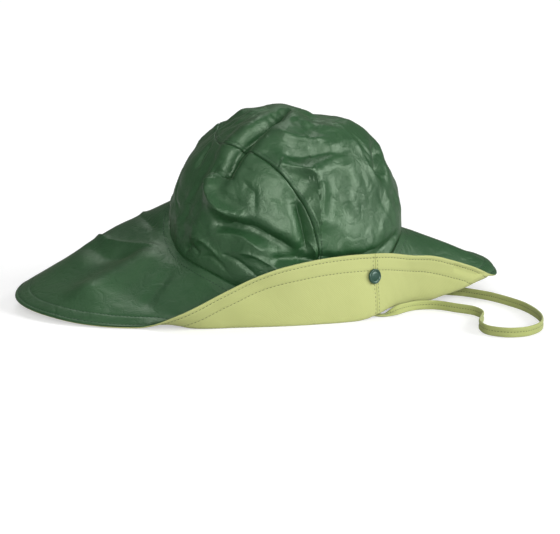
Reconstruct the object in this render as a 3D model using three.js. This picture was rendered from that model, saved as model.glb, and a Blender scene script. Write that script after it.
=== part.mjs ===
// Rain hat: a soft crown of two panels, a lined brim that is long at the back, a press stud and a flat
// chin strap. It lies on a table as it does when it has been taken off: the right side of the brim is
// turned up and held by the stud, and the left side slopes down to the table.
// Millimetres, +X to the front, +Y to the wearer's left, +Z up. The origin is on the table under the
// middle of the hat.
import * as THREE from "three";

// ---------------------------------------------------------------- driving dimensions
const HEAD_LENGTH = 200; // the seam between crown and brim, front to back
const HEAD_WIDTH = 162; // the same seam, side to side
const CROWN_TOP = 169; // height of the crown over the table
const CROWN_AXIS = { x: 20.54, y: -10.46 }; // where the middle of the crown stands
const CROWN_CLOTH = 1.2; // wall of the crown
const BRIM_LAYER = 1.1; // wall of each of the brim's two layers
const CLOTH_GAP = 0.3; // between pieces that are sewn or pressed together
const SEAM_GAP = 0.5; // from the crown's lower edge to the middle of the brim's inner edge
const FOLD_ROUND = 13; // how far from its corner the fold of the brim starts to turn
const REST_SOFTNESS = 1; // how gently the cloth levels out where it meets the table
const STUD_RADIUS = 6.4;
const STUD_RISE = 2.2;
const SOCKET_RADIUS = 4.5;
const STRAP_WIDTH = 8;
const STRAP_THICKNESS = 1.8;

// The seam and the brim, section by section. `at` is degrees round the crown from the front towards the
// wearer's left. `seam` is the height of the crown's seam and `square` the squareness of the crown above
// it: 2 is an ellipse. `fold` and `edge` are the corner that the cloth turns round and its free edge:
// how far out from the seam, and how high.
const SECTIONS = [
  { at: 0, seam: 60, square: 2.15, foldOut: 79, foldUp: 31, edgeOut: 89, edgeUp: 23 },
  { at: 10, seam: 61, square: 2.15, foldOut: 74, foldUp: 29, edgeOut: 89, edgeUp: 18 },
  { at: 30, seam: 65, square: 2.25, foldOut: 54, foldUp: 31, edgeOut: 76, edgeUp: 6 },
  { at: 60, seam: 74, square: 2.25, foldOut: 32, foldUp: 45, edgeOut: 50, edgeUp: 0 },
  { at: 90, seam: 82, square: 2.25, foldOut: 25, foldUp: 52, edgeOut: 40, edgeUp: 0 },
  { at: 120, seam: 87, square: 2.2, foldOut: 32, foldUp: 58, edgeOut: 54, edgeUp: 0 },
  { at: 145, seam: 89, square: 2.05, foldOut: 48, foldUp: 60, edgeOut: 88, edgeUp: 0 },
  { at: 158, seam: 82, square: 1.87, foldOut: 60, foldUp: 57, edgeOut: 120, edgeUp: 5 },
  { at: 168, seam: 73, square: 1.87, foldOut: 66, foldUp: 49, edgeOut: 129, edgeUp: 13 },
  { at: 180, seam: 62, square: 1.87, foldOut: 66, foldUp: 36, edgeOut: 131, edgeUp: 9 },
  { at: 193, seam: 52, square: 1.87, foldOut: 60, foldUp: 26, edgeOut: 108, edgeUp: 4 },
  { at: 203, seam: 46, square: 1.87, foldOut: 50, foldUp: 18, edgeOut: 84, edgeUp: 1 },
  { at: 213, seam: 42, square: 1.95, foldOut: 42, foldUp: 8, edgeOut: 61, edgeUp: 2 },
  { at: 225, seam: 36, square: 2.1, foldOut: 34, foldUp: -4, edgeOut: 52, edgeUp: 15 },
  { at: 240, seam: 26, square: 2.2, foldOut: 20, foldUp: -8, edgeOut: 33, edgeUp: 34 },
  { at: 255, seam: 17, square: 2.25, foldOut: 12, foldUp: -8, edgeOut: 20, edgeUp: 47 },
  { at: 270, seam: 14, square: 2.25, foldOut: 9, foldUp: -8, edgeOut: 12, edgeUp: 53 },
  { at: 285, seam: 15, square: 2.25, foldOut: 10, foldUp: -8, edgeOut: 8, edgeUp: 55 },
  { at: 300, seam: 21, square: 2.25, foldOut: 14, foldUp: -4, edgeOut: 8, edgeUp: 54.5 },
  { at: 315, seam: 34, square: 2.25, foldOut: 10, foldUp: -1, edgeOut: 12, edgeUp: 52 },
  { at: 330, seam: 50, square: 2.15, foldOut: 14, foldUp: -0.5, edgeOut: 25, edgeUp: 45 },
  { at: 340, seam: 57, square: 2.15, foldOut: 32, foldUp: 1, edgeOut: 41, edgeUp: 38 },
  { at: 350, seam: 60, square: 2.15, foldOut: 62, foldUp: 10, edgeOut: 68, edgeUp: 29 },
];

// The main folds of the crown. Each runs from one place over a second to a third: degrees round the crown,
// and the share of the way up from the seam (0) to the top (1). A negative rise is a valley.
const CROWN_FOLDS = [
  { from: [250, 0.92], over: [229, 0.56], to: [223, 0.39], rise: -8, width: 7 }, // deep pleat behind
  { from: [236, 0.86], over: [214, 0.62], to: [217, 0.42], rise: 5, width: 10 }, // swell beside it
  { from: [212, 0.39], over: [222, 0.27], to: [238, 0.23], rise: 5, width: 6 }, // long slack fold
  { from: [226, 0.2], over: [244, 0.2], to: [268, 0.14], rise: -6, width: 7 }, // hollow under it
  { from: [258, 0.48], over: [280, 0.42], to: [280, 0.24], rise: 4, width: 7 }, // bend by the side seam
  { from: [267, 0.32], over: [270, 0.24], to: [272, 0.16], rise: -5, width: 6 }, // pinch in that seam
  { from: [344, 0.44], over: [337, 0.4], to: [331, 0.34], rise: -7, width: 8 }, // dent in front
  { from: [-40, 0.81], over: [0, 0.79], to: [40, 0.82], rise: -5, width: 13 }, // sag of the top
  { from: [-34, 0.5], over: [0, 0.52], to: [34, 0.5], rise: 3.5, width: 20 }, // full brow in front
  { from: [130, 0.5], over: [112, 0.35], to: [100, 0.2], rise: -5, width: 9 }, // slack on the left
  { from: [60, 0.55], over: [48, 0.4], to: [40, 0.22], rise: -4, width: 9 },
];
const FOLD_FREE = 0.12; // share of the way up from the seam where the folds are at their full depth

// The back panel's upper edge is an arch from side to side: half its span in degrees, and its top.
const BACK_PANEL = { middle: 180, halfSpan: 99, top: 0.58, squareness: 2.6 };
const PANEL_GAP = { halfSpan: 0.12, top: 0.0012 }; // half the gap between the two panels
const BRIM_SEAM = { at: 55.5, gap: 0.12 }; // the brim's seams either side of the front, in degrees
const STUD_PLACE = { at: 303.1, stretch: 2.58 };

// The chin strap's route: its middle, and the way that its width points.
const STRAP_ROUTE = [
  { x: 49, y: -63, z: 20, wide: [0.88, 0.47, 0] },
  { x: 51, y: -63.5, z: 12, wide: [0.88, 0.47, 0] },
  { x: 55, y: -65.5, z: 5, wide: [0.75, 0.65, 0] },
  { x: 62, y: -69, z: 1.5, wide: [0.45, 0.9, 0] },
  { x: 71, y: -72, z: 1.2, wide: [0.15, 1, 0] },
  { x: 80, y: -70, z: 3.5, wide: [-0.15, 0.75, 0.6] },
  { x: 89, y: -64, z: 4.3, wide: [0, 0.25, 1] },
  { x: 103, y: -56, z: 4.15, wide: [0, 0, 1] },
  { x: 118, y: -57, z: 4.15, wide: [0, 0, 1] },
  { x: 132, y: -70, z: 4.15, wide: [0, 0, 1] },
  { x: 144, y: -83, z: 4.15, wide: [0, 0, 1] },
  { x: 147, y: -98, z: 4.15, wide: [0, 0, 1] },
  { x: 141, y: -115, z: 4.15, wide: [0, 0, 1] },
  { x: 135, y: -132, z: 4.15, wide: [0, 0, 1] },
  { x: 137, y: -149, z: 4.15, wide: [0, 0, 1] },
  { x: 150, y: -159, z: 4.15, wide: [0, 0, 1] },
  { x: 167, y: -157, z: 4.15, wide: [0, 0, 1] },
  { x: 183, y: -142, z: 4.15, wide: [0, 0, 1] },
  { x: 191, y: -117, z: 4.15, wide: [0, 0, 1] },
  { x: 192, y: -88, z: 4.15, wide: [0, 0, 1] },
  { x: 186, y: -62, z: 4.15, wide: [0, 0, 1] },
  { x: 175, y: -37, z: 4.15, wide: [0, 0, 1] },
  { x: 157, y: -15, z: 4.15, wide: [0, 0, 1] },
  { x: 133, y: -2, z: 4.15, wide: [0, 0, 1] },
  { x: 107, y: 12, z: 4.15, wide: [0, 0, 1] },
  { x: 84, y: 30, z: 4.15, wide: [0, 0, 1] },
  { x: 67, y: 46, z: 6, wide: [-0.5, 0.2, 0.7] },
  { x: 58, y: 57, z: 15, wide: [-0.8, 0.5, 0.4] },
  { x: 54, y: 62, z: 31, wide: [-0.8, 0.5, 0] },
  { x: 52.5, y: 64.5, z: 52, wide: [-0.8, 0.5, 0] },
  { x: 52, y: 65, z: 72, wide: [-0.8, 0.5, 0] },
];

const OUTER_CLOTH = { color: 0x335f40, roughness: 0.38, metalness: 0 };
const LINING_CLOTH = { color: 0xc8d48b, roughness: 0.9, metalness: 0 };
const ENAMEL = { color: 0x1f4a3c, roughness: 0.3, metalness: 0.4 };
const STRAP_CLOTH = { color: 0xa9bd66, roughness: 0.85, metalness: 0 };

// ---------------------------------------------------------------- helpers
const radians = THREE.MathUtils.degToRad;
const turnOf = (degrees) => ((degrees % 360) + 360) % 360;
const steps = (from, to, count) =>
  Array.from({ length: count + 1 }, (_, i) => from + ((to - from) * i) / count);

// One column of the table of sections as a smooth closed curve round the crown.
function roundColumn(column) {
  const rows = SECTIONS;
  const slope = (before, after) => (after[column] - before[column]) / turnOf(after.at - before.at);
  return (degrees) => {
    const angle = turnOf(degrees);
    const i = rows.findLastIndex((row) => row.at <= angle);
    const near = (k) => rows[(i + k + rows.length) % rows.length];
    const [before, start, end, after] = [-1, 0, 1, 2].map(near);
    const span = turnOf(end.at - start.at);
    const t = (angle - start.at) / span;
    const leave = slope(before, end) * span;
    const arrive = slope(start, after) * span;
    return (
      start[column] * (1 + 2 * t) * (1 - t) ** 2 +
      leave * t * (1 - t) ** 2 +
      end[column] * t ** 2 * (3 - 2 * t) +
      arrive * t ** 2 * (t - 1)
    );
  };
}

const seamHeight = roundColumn("seam");
const squareness = roundColumn("square");
const foldOut = roundColumn("foldOut");
const foldUp = roundColumn("foldUp");
const edgeOut = roundColumn("edgeOut");
const edgeUp = roundColumn("edgeUp");

// The seam seen from above, and the way straight out from it.
function seamPlan(degrees) {
  const angle = radians(degrees);
  const [a, b] = [HEAD_LENGTH / 2, HEAD_WIDTH / 2];
  return {
    place: new THREE.Vector2(a * Math.cos(angle), b * Math.sin(angle)),
    out: new THREE.Vector2(Math.cos(angle) / a, Math.sin(angle) / b).normalize(),
  };
}

// ---------------------------------------------------------------- surfaces
// The brim's middle, between its two layers. A section has three stretches: 0 to 1 is straight, from the
// seam to where the fold starts, 1 to 2 turns round the corner, and 2 to 3 is straight to the edge.
function brimMiddle(degrees, stretch) {
  const start = new THREE.Vector2(SEAM_GAP, seamHeight(degrees) - SEAM_GAP);
  const corner = new THREE.Vector2(foldOut(degrees), foldUp(degrees));
  const edge = new THREE.Vector2(edgeOut(degrees), edgeUp(degrees));
  const inner = start.distanceTo(corner);
  const outer = corner.distanceTo(edge);
  const turn = Math.min(FOLD_ROUND, inner * 0.8, outer * 0.8);
  const enter = corner.clone().lerp(start, turn / inner);
  const leave = corner.clone().lerp(edge, turn / outer);
  const point = new THREE.Vector2();
  if (stretch <= 1) point.lerpVectors(start, enter, stretch);
  else if (stretch >= 2) point.lerpVectors(leave, edge, stretch - 2);
  else point.copy(new THREE.QuadraticBezierCurve(enter, corner, leave).getPoint(stretch - 1));
  const { place, out } = seamPlan(degrees);
  return new THREE.Vector3(place.x + out.x * point.x, place.y + out.y * point.x, point.y);
}

// The crown's dome before its folds.
function dome(degrees, up) {
  const { place } = seamPlan(degrees);
  const reach = Math.sin(((1 - up) * Math.PI) / 2);
  const power = squareness(degrees);
  const rise = (1 - reach ** power) ** (1 / power);
  const seam = seamHeight(degrees);
  return new THREE.Vector3(place.x * reach, place.y * reach, seam + (CROWN_TOP - seam) * rise);
}

// The middle line of a fold on the dome, through its three places.
function foldLine({ from, over, to }) {
  const through = (t, k) =>
    from[k] * (1 - t) * (1 - 2 * t) + 4 * over[k] * t * (1 - t) + to[k] * t * (2 * t - 1);
  return steps(0, 1, 10).map((t) => dome(through(t, 0), through(t, 1)));
}

const FOLD_LINES = CROWN_FOLDS.map((fold) => ({ ...fold, points: foldLine(fold) }));

// How far the folds push the cloth out at a place: each is highest on its line and fades beside it.
function foldRise(place) {
  return FOLD_LINES.reduce((sum, { points, rise, width }) => {
    const distances = points.slice(1).map((end, i) => {
      const line = new THREE.Line3(points[i], end);
      return line.closestPointToPoint(place, true, new THREE.Vector3()).distanceTo(place);
    });
    return sum + rise * Math.exp(-((Math.min(...distances) / width) ** 2));
  }, 0);
}

// A surface's own normal, from a short step each way along it.
function normalOf(surface, degrees, share) {
  const [turn, step] = [0.1, 0.002];
  const along = surface(degrees + turn, share).sub(surface(degrees - turn, share));
  const across = surface(degrees, share + step).sub(surface(degrees, share - step));
  return along.cross(across).normalize();
}

function crownFace(degrees, up, depth) {
  const place = dome(degrees, up);
  const rise = foldRise(place) * Math.min(1, up / FOLD_FREE);
  const normal = normalOf(dome, degrees, THREE.MathUtils.clamp(up, 0.01, 0.99));
  return place.addScaledVector(normal, rise - depth);
}

// A face of the brim, `lift` over its middle. It levels out where it would sink below `rest`.
function brimFace(degrees, stretch, lift, rest) {
  const point = brimMiddle(degrees, stretch);
  point.addScaledVector(normalOf(brimMiddle, degrees, stretch), -lift);
  const over = (point.z - rest) / REST_SOFTNESS;
  if (over < 1) point.z = rest + (REST_SOFTNESS * Math.max(over + 1, 0) ** 2) / 4;
  return point;
}

// ---------------------------------------------------------------- closed walls of cloth
// `columns` holds columns of places { front, back } on a wall's two faces, each from its lower edge up.
// A ring joins its last column to its first, and with a pole the columns all end in one place.
function clothWall(columns, { ring = false, pole = false } = {}) {
  const rows = columns[0].length;
  const top = rows - 1;
  const points = columns.flat().flatMap(({ front, back }) => [front, back]);
  const index = [];
  const corner = (i, j, side) => {
    const column = pole && j === top ? 0 : i % columns.length;
    return (column * rows + j) * 2 + side;
  };
  const quad = (a, b, c, d) => {
    if (a !== b && b !== c) index.push(a, b, c);
    if (c !== d && d !== a) index.push(a, c, d);
  };
  const spans = ring ? columns.length : columns.length - 1;
  for (let i = 0; i < spans; i++) {
    for (let j = 0; j < top; j++) {
      quad(corner(i, j, 0), corner(i + 1, j, 0), corner(i + 1, j + 1, 0), corner(i, j + 1, 0));
      quad(corner(i, j, 1), corner(i, j + 1, 1), corner(i + 1, j + 1, 1), corner(i + 1, j, 1));
    }
    quad(corner(i, 0, 0), corner(i, 0, 1), corner(i + 1, 0, 1), corner(i + 1, 0, 0));
    if (!pole) {
      quad(corner(i, top, 0), corner(i + 1, top, 0), corner(i + 1, top, 1), corner(i, top, 1));
    }
  }
  for (let j = 0; !ring && j < top; j++) {
    quad(corner(0, j, 0), corner(0, j + 1, 0), corner(0, j + 1, 1), corner(0, j, 1));
    quad(corner(spans, j, 0), corner(spans, j, 1), corner(spans, j + 1, 1), corner(spans, j + 1, 0));
  }
  const used = [...new Set(index)];
  const renumbered = new Map(used.map((old, i) => [old, i]));
  const positions = used.flatMap((i) => points[i].toArray());
  const geometry = new THREE.BufferGeometry();
  geometry.setAttribute("position", new THREE.Float32BufferAttribute(positions, 3));
  geometry.setIndex(index.map((i) => renumbered.get(i)));
  return geometry;
}

// ---------------------------------------------------------------- pieces
const hat = new THREE.Group();
hat.position.set(CROWN_AXIS.x, CROWN_AXIS.y, 0);

function addPiece(name, geometry, finish) {
  const mesh = new THREE.Mesh(geometry, new THREE.MeshStandardMaterial(finish));
  mesh.name = name;
  hat.add(mesh);
  return mesh;
}

// A place on the arch between the two panels: `side` is -1 for the back panel's edge, 1 for the front's.
function archPlace(phase, side) {
  const power = 2 / BACK_PANEL.squareness;
  const cosine = Math.cos(phase);
  const halfSpan = BACK_PANEL.halfSpan + side * PANEL_GAP.halfSpan;
  const top = BACK_PANEL.top + side * PANEL_GAP.top;
  return {
    at: BACK_PANEL.middle - halfSpan * Math.sign(cosine) * Math.abs(cosine) ** power,
    up: top * Math.sin(phase) ** power,
  };
}

function crownColumn(low, high, rows) {
  return steps(0, 1, rows).map((t) => {
    const at = low.at + (high.at - low.at) * t;
    const up = low.up + (high.up - low.up) * t;
    return { front: crownFace(at, up, 0), back: crownFace(at, up, CROWN_CLOTH) };
  });
}

function makeCrown() {
  const archSteps = 36;
  const cornerPhase = 0.03; // the back panel's two points are cut off here
  const backColumns = steps(cornerPhase, Math.PI - cornerPhase, archSteps).map((phase) => {
    const turned = (2 * phase) / Math.PI - 1;
    const low = { at: BACK_PANEL.middle + BACK_PANEL.halfSpan * turned, up: 0 };
    return crownColumn(low, archPlace(phase, -1), 10);
  });
  addPiece("crown_back_panel", clothWall(backColumns), OUTER_CLOTH);

  const halfFront = BACK_PANEL.middle - BACK_PANEL.halfSpan - PANEL_GAP.halfSpan;
  const hem = steps(-halfFront, halfFront, 24).slice(1, -1);
  const arch = steps(0, Math.PI, archSteps).map((phase) => archPlace(phase, 1));
  const edge = [...hem.map((at) => ({ at, up: 0 })), ...arch];
  const frontColumns = edge.map((low) => crownColumn(low, { at: low.at, up: 1 }, 16));
  addPiece("crown_front_panel", clothWall(frontColumns, { ring: true, pole: true }), OUTER_CLOTH);
}

function makeBrim() {
  const half = CLOTH_GAP / 2;
  const whole = half + BRIM_LAYER;
  const layers = [
    { name: "brim_shell", over: whole, under: half, rest: BRIM_LAYER + CLOTH_GAP, finish: OUTER_CLOTH },
    { name: "brim_lining", over: -half, under: -whole, rest: 0, finish: LINING_CLOTH },
  ];
  const parts = [
    { name: "front", from: -BRIM_SEAM.at, to: BRIM_SEAM.at, columns: 20 },
    { name: "back", from: BRIM_SEAM.at, to: 360 - BRIM_SEAM.at, columns: 42 },
  ];
  const stretches = [3, 2.5, 2, 1.8, 1.6, 1.4, 1.2, 1, 0.5, 0];
  for (const part of parts) {
    const angles = steps(part.from + BRIM_SEAM.gap, part.to - BRIM_SEAM.gap, part.columns);
    for (const { name, over, under, rest, finish } of layers) {
      const columns = angles.map((at) =>
        stretches.map((stretch) => ({
          front: brimFace(at, stretch, over, rest + BRIM_LAYER),
          back: brimFace(at, stretch, under, rest),
        })),
      );
      addPiece(`${name}_${part.name}`, clothWall(columns), finish);
    }
  }
}

// The stud's cap lies on the lining, and its other half fills the space between the brim and the crown.
function makeStud() {
  const middle = brimMiddle(STUD_PLACE.at, STUD_PLACE.stretch);
  const facing = normalOf(brimMiddle, STUD_PLACE.at, STUD_PLACE.stretch);
  const turn = new THREE.Quaternion().setFromUnitVectors(new THREE.Vector3(0, 1, 0), facing);
  const brimHalf = CLOTH_GAP / 2 + BRIM_LAYER;
  const clear = CLOTH_GAP + 0.15; // the brim is a little hollow behind the cap

  const domed = steps(0, 1, 4).map((t) => {
    const angle = (t * Math.PI) / 2;
    return new THREE.Vector2(STUD_RADIUS * Math.cos(angle), STUD_RISE * (0.35 + 0.65 * Math.sin(angle)));
  });
  domed[domed.length - 1].x = 0;
  const capOutline = [new THREE.Vector2(0, 0), new THREE.Vector2(STUD_RADIUS, 0), ...domed];
  const cap = addPiece("snap_cap", new THREE.LatheGeometry(capOutline, 20), ENAMEL);
  cap.quaternion.copy(turn);
  cap.position.copy(middle).addScaledVector(facing, brimHalf + clear);

  const socketEnd = -brimHalf - clear;
  const socketLength = 4;
  const socketOutline = [
    new THREE.Vector2(0, socketEnd - socketLength),
    new THREE.Vector2(SOCKET_RADIUS, socketEnd - socketLength),
    new THREE.Vector2(SOCKET_RADIUS, socketEnd),
    new THREE.Vector2(0, socketEnd),
  ];
  const socket = addPiece("snap_socket", new THREE.LatheGeometry(socketOutline, 16), ENAMEL);
  socket.quaternion.copy(turn);
  socket.position.copy(middle);
}

// The strap is extruded straight, then laid along its route with its width turned as the route says.
function makeStrap() {
  const middle = new THREE.CatmullRomCurve3(STRAP_ROUTE.map(({ x, y, z }) => new THREE.Vector3(x, y, z)));
  const width = new THREE.CatmullRomCurve3(STRAP_ROUTE.map(({ wide }) => new THREE.Vector3(...wide)));
  const [w, h, cut] = [STRAP_WIDTH / 2, STRAP_THICKNESS / 2, 0.5];
  const outline = [
    [w, h - cut],
    [w - cut, h],
    [cut - w, h],
    [-w, h - cut],
    [-w, cut - h],
    [cut - w, -h],
    [w - cut, -h],
    [w, cut - h],
  ];
  const shape = new THREE.Shape(outline.map(([x, y]) => new THREE.Vector2(x, y)));
  const geometry = new THREE.ExtrudeGeometry(shape, { depth: 1, steps: 48, bevelEnabled: false });
  const place = geometry.getAttribute("position");
  for (let i = 0; i < place.count; i++) {
    const t = place.getZ(i);
    const tangent = middle.getTangent(t);
    const wide = width.getPoint(t);
    wide.addScaledVector(tangent, -wide.dot(tangent)).normalize();
    const thick = tangent.clone().cross(wide);
    const point = middle.getPoint(t).addScaledVector(wide, place.getX(i));
    point.addScaledVector(thick, place.getY(i));
    place.setXYZ(i, point.x, point.y, point.z);
  }
  addPiece("chin_strap", geometry, STRAP_CLOTH);
}

makeCrown();
makeBrim();
makeStud();
makeStrap();

export default hat;
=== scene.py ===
"""Rain hat: its visible pieces, their finishes, the studio and the camera.

Lengths inside the classes are millimetres round the crown's own axis, +X to the front, +Y to the
wearer's left and +Z up. `in_row_frame` turns them into metres in the row's frame.
"""

import logging
import math
from collections.abc import Callable, Sequence
from dataclasses import dataclass, replace
from enum import Enum

import bpy
import numpy as np
from mathutils import Matrix, Vector


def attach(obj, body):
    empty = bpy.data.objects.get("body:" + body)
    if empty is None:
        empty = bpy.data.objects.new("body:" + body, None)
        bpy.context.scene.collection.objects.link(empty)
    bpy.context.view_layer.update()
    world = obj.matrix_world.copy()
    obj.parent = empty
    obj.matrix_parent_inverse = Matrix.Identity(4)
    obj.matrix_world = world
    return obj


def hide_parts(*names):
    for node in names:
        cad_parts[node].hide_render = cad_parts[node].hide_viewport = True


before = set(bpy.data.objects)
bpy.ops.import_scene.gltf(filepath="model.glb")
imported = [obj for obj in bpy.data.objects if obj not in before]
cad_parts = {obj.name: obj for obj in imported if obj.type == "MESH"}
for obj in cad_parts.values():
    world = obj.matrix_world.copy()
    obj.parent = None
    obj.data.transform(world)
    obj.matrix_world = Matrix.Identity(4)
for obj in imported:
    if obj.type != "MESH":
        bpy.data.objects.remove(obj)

Array = np.ndarray
Surface = Callable[[Array, Array], Array]  # places from two parameters
Shell = tuple[Array, list[Array]]  # points, and faces in blocks of one number of corners
Colour = tuple[float, float, float]
log = logging.getLogger("rain_hat")

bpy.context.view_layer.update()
CROWN_AXIS = np.array([20.54, -10.46, 0.0])
METRES = 0.001
TINY = 1e-9
POLE_CLEAR = 0.01  # the share of the dome at its seam and its pole where no normal is taken
UP = np.array([0.0, 0.0, 1.0])
BODY = "root"


# ---------------------------------------------------------------- arrays and meshes
def in_row_frame(points: Array) -> Array:
    """Move points from the crown's own axis to the row's frame, and millimetres to metres."""
    return (points + CROWN_AXIS) * METRES


def unit(vectors: Array) -> Array:
    """Each vector over its own length."""
    return vectors / np.maximum(np.linalg.norm(vectors, axis=-1, keepdims=True), TINY)


def smooth(value: Array, low: float, high: float) -> Array:
    """Rise from 0 at low to 1 at high along 3t^2 - 2t^3."""
    t = np.clip((value - low) / (high - low), 0, 1)
    return t * t * (3 - 2 * t)


def bell(value: Array, width: float) -> Array:
    """Fall from 1 at zero along exp(-(value / width)^2)."""
    return np.exp(-((value / width) ** 2))


def signed_power(value: Array, power: float) -> Array:
    """The power of the value's size, with the value's own sign."""
    return np.sign(value) * np.abs(value) ** power


def run_length(line: Array) -> Array:
    """How far each point of a line lies along it."""
    return np.concatenate([[0], np.cumsum(np.linalg.norm(np.diff(line, axis=0), axis=1))])


def hermite(knots: Array, rows: Array, at: Array, period: float | None = None) -> Array:
    """A smooth curve through rows of values at uneven knots.

    Between two knots it is the cubic with the rows' values at both ends, and with slopes there that
    run from each knot's neighbour before it to the one after it. An open curve's end slopes run to
    the end itself.

    Args:
        knots: increasing places of the rows.
        rows: one row of values for each knot.
        at: where the curve is wanted.
        period: the length after which a closed curve starts again, or None for an open one.

    Returns:
        The curve's values, one row for each place.
    """
    count = len(knots)
    if period is None:
        at = np.clip(at, knots[0], knots[-1])
        start = np.clip(np.searchsorted(knots, at, side="right") - 1, 0, count - 2)
        end = start + 1
        before, after = np.maximum(start - 1, 0), np.minimum(start + 2, count - 1)
    else:
        at = np.mod(at, period)
        first = np.searchsorted(knots, at, side="right") - 1
        before, start, end, after = [(first + k) % count for k in (-1, 0, 1, 2)]

    def gap(a: Array, b: Array) -> Array:
        """The length from one knot to another."""
        return knots[b] - knots[a] if period is None else np.mod(knots[b] - knots[a], period)

    def widen(values: Array) -> Array:
        """One value for each place, as wide as a row."""
        return values.reshape(values.shape + (1,) * (rows.ndim - 1))

    span = gap(start, end)
    t = widen((at - knots[start]) / span)
    leave = (rows[end] - rows[before]) * widen(span / gap(before, end))
    arrive = (rows[after] - rows[start]) * widen(span / gap(start, after))
    ends = rows[start] * (1 + 2 * t) * (1 - t) ** 2 + rows[end] * t**2 * (3 - 2 * t)
    return ends + leave * t * (1 - t) ** 2 + arrive * t**2 * (t - 1)


def nearest_on_line(places: Array, line: Array) -> tuple[Array, Array, Array]:
    """The nearest point of a line of straight pieces to each place.

    Args:
        places: any number of places, in rows.
        line: the line's points in order.

    Returns:
        The distance, the share of the way along the line, and the vector out from the line.
    """
    start, step = line[:-1], np.diff(line, axis=0)
    size = np.maximum((step**2).sum(-1), TINY)
    distance = np.full(len(places), np.inf)
    share = np.zeros(len(places))
    away = np.zeros_like(places)
    for k in range(len(step)):
        offset = places - start[k]
        t = np.clip(offset @ step[k] / size[k], 0, 1)
        reach = offset - t[:, None] * step[k]
        far = np.linalg.norm(reach, axis=1)
        near = far < distance
        distance[near], share[near], away[near] = far[near], (k + t[near]) / len(step), reach[near]
    return distance, share, away


def drawn_waves(
    draw: np.random.Generator, length: float, count: int, longest: float
) -> tuple[Array, Array]:
    """Seeded directions over wavelengths about `length`, and a phase for each.

    Args:
        draw: where the random numbers come from.
        length: the middling wavelength.
        count: how many waves there are.
        longest: the longest wave over that length.

    Returns:
        One column of rates for each wave, and the phases.
    """
    shortest = 0.7
    ways = unit(draw.normal(size=(count, 3)))
    rates = 2 * math.pi / (length * draw.uniform(shortest, longest, count))
    return (ways * rates[:, None]).T, draw.uniform(0, 2 * math.pi, count)


@dataclass(frozen=True)
class Waves:
    """Soft unevenness: a sum of plane waves in seeded directions, all of about one length."""

    length: float
    seed: int
    count: int = 22
    longest: float = 1.4

    def __call__(self, places: Array) -> Array:
        """The sum of sin(k . place + phase) over the waves, scaled to a spread of about one."""
        draw = np.random.default_rng(self.seed)
        rates, phases = drawn_waves(draw, self.length, self.count, self.longest)
        return np.sin(places @ rates + phases).sum(1) / math.sqrt(self.count / 2)


@dataclass(frozen=True)
class Crumple:
    """Flat facets between crisp creases, as thin coated cloth takes them.

    Each fold is a triangle wave asin(crisp sin(k . p + phase)) in a seeded direction k. There p is
    the place moved aside by three slow waves, `slower` times as long, by the share `sway` of a
    length. A fourth slow wave scales the folds' sum between `least` and 1.
    """

    length: float
    seed: int
    count: int = 5
    crisp: float = 0.985
    least: float = 0.25
    slower: float = 2.6
    sway: float = 0.3
    longest: float = 1.5
    ease: float = 0.8

    def __call__(self, places: Array) -> Array:
        """The crumple's height, before its size.

        Args:
            places: places in millimetres, in rows.

        Returns:
            One value for each place.
        """
        draw = np.random.default_rng(self.seed)
        slow = unit(draw.normal(size=(4, 3))) * (2 * math.pi / (self.length * self.slower))
        waves = np.sin(places @ slow.T + draw.uniform(0, 2 * math.pi, 4))
        moved = places + waves[:, :3] * self.length * self.sway
        rates, phases = drawn_waves(draw, self.length, self.count, self.longest)
        folds = np.arcsin(self.crisp * np.sin(moved @ rates + phases))
        envelope = self.least + (1 - self.least) * smooth(waves[:, 3], -self.ease, self.ease)
        return folds.sum(1) * envelope / math.sqrt(self.count)


Slack = tuple[tuple[Waves | Crumple, float], ...]


def slack_height(slack: Slack, places: Array) -> Array:
    """The sum of each unevenness times its size, at places in rows."""
    return sum(waves(places) * size for waves, size in slack)


def loop_faces(columns: int, rows: int, ring: bool) -> list[Array]:
    """Faces over a grid whose rows run round a closed section.

    Corner (i, j) has number i * rows + j. Each face takes (i, j), (i + 1, j), (i + 1, j + 1) and
    (i, j + 1), with j round the section. A grid that isn't a ring gets a face over each end.

    Args:
        columns: how many sections there are.
        rows: how many points each section has.
        ring: whether the last section joins the first.

    Returns:
        Arrays of faces, one for each number of corners.
    """
    first = np.arange(rows)
    i, j = np.meshgrid(np.arange(columns if ring else columns - 1), first, indexing="ij")
    ahead, over = (i + 1) % columns, (j + 1) % rows
    faces = np.stack([i * rows + j, ahead * rows + j, ahead * rows + over, i * rows + over], -1)
    ends = [] if ring else [first[None], (columns - 1) * rows + first[::-1][None]]
    return [faces.reshape(-1, 4), *ends]


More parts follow.
